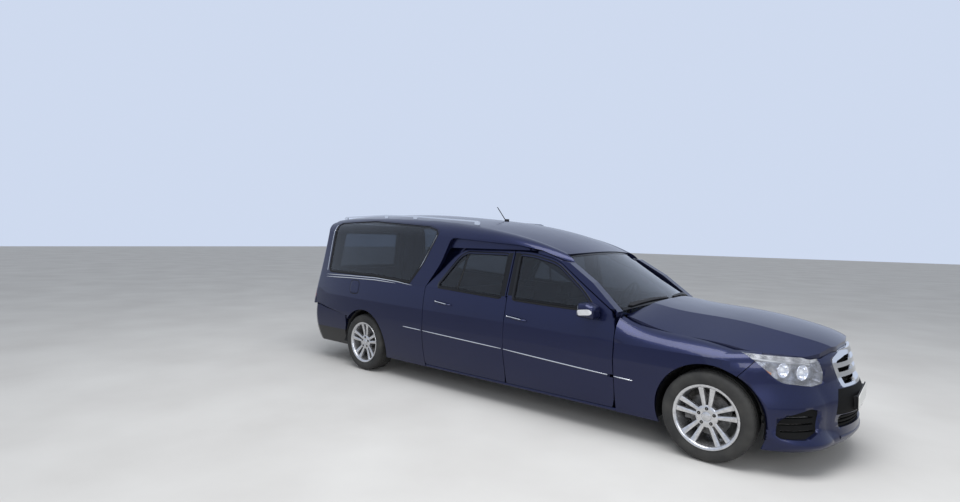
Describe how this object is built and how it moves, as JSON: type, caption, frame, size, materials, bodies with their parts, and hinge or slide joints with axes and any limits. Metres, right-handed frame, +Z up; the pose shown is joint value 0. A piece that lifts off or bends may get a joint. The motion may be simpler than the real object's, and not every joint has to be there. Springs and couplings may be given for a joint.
{
  "type": "hearse",
  "caption": "Long funeral car with a four-door cab, a raised coach roof and a glazed load bay at the rear, on road wheels.",
  "frame": {"origin": "on the ground under the middle of the car's length and width", "axes": "+X the way the car drives, +Y its left side, +Z up"},
  "size_m": [5.9952, 2.07, 1.9317],
  "materials": {
    "body_paint": "dark anthracite metallic paint with a blue-grey tone, clear coat",
    "clear_glass": "clear vehicle glass with a slight green tint",
    "lamp_lens": "clear moulded lens",
    "red_lens": "red moulded lens",
    "bright_trim": "bright plated trim",
    "black_plastic": "grained black plastic",
    "body_steel": "satin dark paint on sheet steel",
    "seat_cloth": "black seat covers",
    "deck_board": "grey lacquered load floor",
    "cast_metal": "bare cast and forged metal",
    "exhaust_steel": "dull stainless pipe",
    "tyre_rubber": "black tyre rubber",
    "alloy": "silver lacquered cast alloy"
  },
  "bodies": {
    "car_body": {"antenna": "black_plastic", "coach_roof": "body_paint", "dashboard": "black_plastic", "engine_block": "cast_metal", "exhaust": "exhaust_steel", "floor_pan": "body_steel", "front_bumper": "body_paint", "front_seats": "seat_cloth", "front_subframe": "cast_metal", "front_wings": "body_paint", "grille": "bright_trim", "headlamps": "lamp_lens", "intake_grilles": "black_plastic", "load_bay_glass": "clear_glass", "load_deck": "deck_board", "quarter_panels": "body_paint", "rear_axle": "cast_metal", "rear_bumper": "body_paint", "rear_seat": "seat_cloth", "roof_rails": "bright_trim", "scuttle": "black_plastic", "side_frames": "body_paint", "steering_wheel": "black_plastic", "tail_frame": "body_paint", "tail_lamps": "red_lens", "windscreen": "clear_glass", "wipers": "black_plastic"},
    "right_front_door": {"front_door_right": "body_paint", "front_door_glass_right": "clear_glass"},
    "left_front_door": {"front_door_left": "body_paint", "front_door_glass_left": "clear_glass"},
    "right_rear_door": {"rear_door_right": "body_paint", "rear_door_glass_right": "clear_glass"},
    "left_rear_door": {"rear_door_left": "body_paint", "rear_door_glass_left": "clear_glass"},
    "bonnet": {"bonnet": "body_paint"},
    "tailgate": {"tailgate": "body_paint", "tailgate_glass": "clear_glass"},
    "right_knuckle": {"knuckle_right": "cast_metal"},
    "left_knuckle": {"knuckle_left": "cast_metal"},
    "right_front_wheel": {"front_tyre_right": "tyre_rubber", "front_rim_right": "alloy"},
    "left_front_wheel": {"front_tyre_left": "tyre_rubber", "front_rim_left": "alloy"},
    "right_rear_wheel": {"rear_tyre_right": "tyre_rubber", "rear_rim_right": "alloy"},
    "left_rear_wheel": {"rear_tyre_left": "tyre_rubber", "rear_rim_left": "alloy"}
  },
  "joints": [
    {"name": "right_front_door_hinge", "type": "hinge", "parent": "car_body", "child": "right_front_door", "pos_m": [1.39854, -0.898, 0.6], "axis": [0, 0, 1], "range_deg": [0, 65]},
    {"name": "left_front_door_hinge", "type": "hinge", "parent": "car_body", "child": "left_front_door", "pos_m": [1.39854, 0.898, 0.6], "axis": [0, 0, -1], "range_deg": [0, 65]},
    {"name": "right_rear_door_hinge", "type": "hinge", "parent": "car_body", "child": "right_rear_door", "pos_m": [0.30454, -0.898, 0.6], "axis": [0, 0, 1], "range_deg": [0, 65]},
    {"name": "left_rear_door_hinge", "type": "hinge", "parent": "car_body", "child": "left_rear_door", "pos_m": [0.30454, 0.898, 0.6], "axis": [0, 0, -1], "range_deg": [0, 65]},
    {"name": "bonnet_hinge", "type": "hinge", "parent": "car_body", "child": "bonnet", "pos_m": [1.444, 0, 1], "axis": [0, -1, 0], "range_deg": [0, 40]},
    {"name": "tailgate_hinge", "type": "hinge", "parent": "car_body", "child": "tailgate", "pos_m": [-2.69782, 0, 1.722], "axis": [0, 1, 0], "range_deg": [0, 85]},
    {"name": "right_steer", "type": "hinge", "parent": "car_body", "child": "right_knuckle", "pos_m": [2.15, -0.735, 0.326], "axis": [0, 0, 1], "range_deg": [-35, 35]},
    {"name": "left_steer", "type": "hinge", "parent": "car_body", "child": "left_knuckle", "pos_m": [2.15, 0.735, 0.326], "axis": [0, 0, 1], "range_deg": [-35, 35]},
    {"name": "right_front_spin", "type": "hinge", "parent": "right_knuckle", "child": "right_front_wheel", "pos_m": [2.15, -0.79, 0.326], "axis": [0, 1, 0], "continuous": true},
    {"name": "left_front_spin", "type": "hinge", "parent": "left_knuckle", "child": "left_front_wheel", "pos_m": [2.15, 0.79, 0.326], "axis": [0, 1, 0], "continuous": true},
    {"name": "right_rear_spin", "type": "hinge", "parent": "car_body", "child": "right_rear_wheel", "pos_m": [-1.73, -0.79, 0.326], "axis": [0, 1, 0], "continuous": true},
    {"name": "left_rear_spin", "type": "hinge", "parent": "car_body", "child": "left_rear_wheel", "pos_m": [-1.73, 0.79, 0.326], "axis": [0, 1, 0], "continuous": true}
  ],
  "couplings": [
    {"joint": "left_steer", "follows": "right_steer", "ratio": 1}
  ]
}
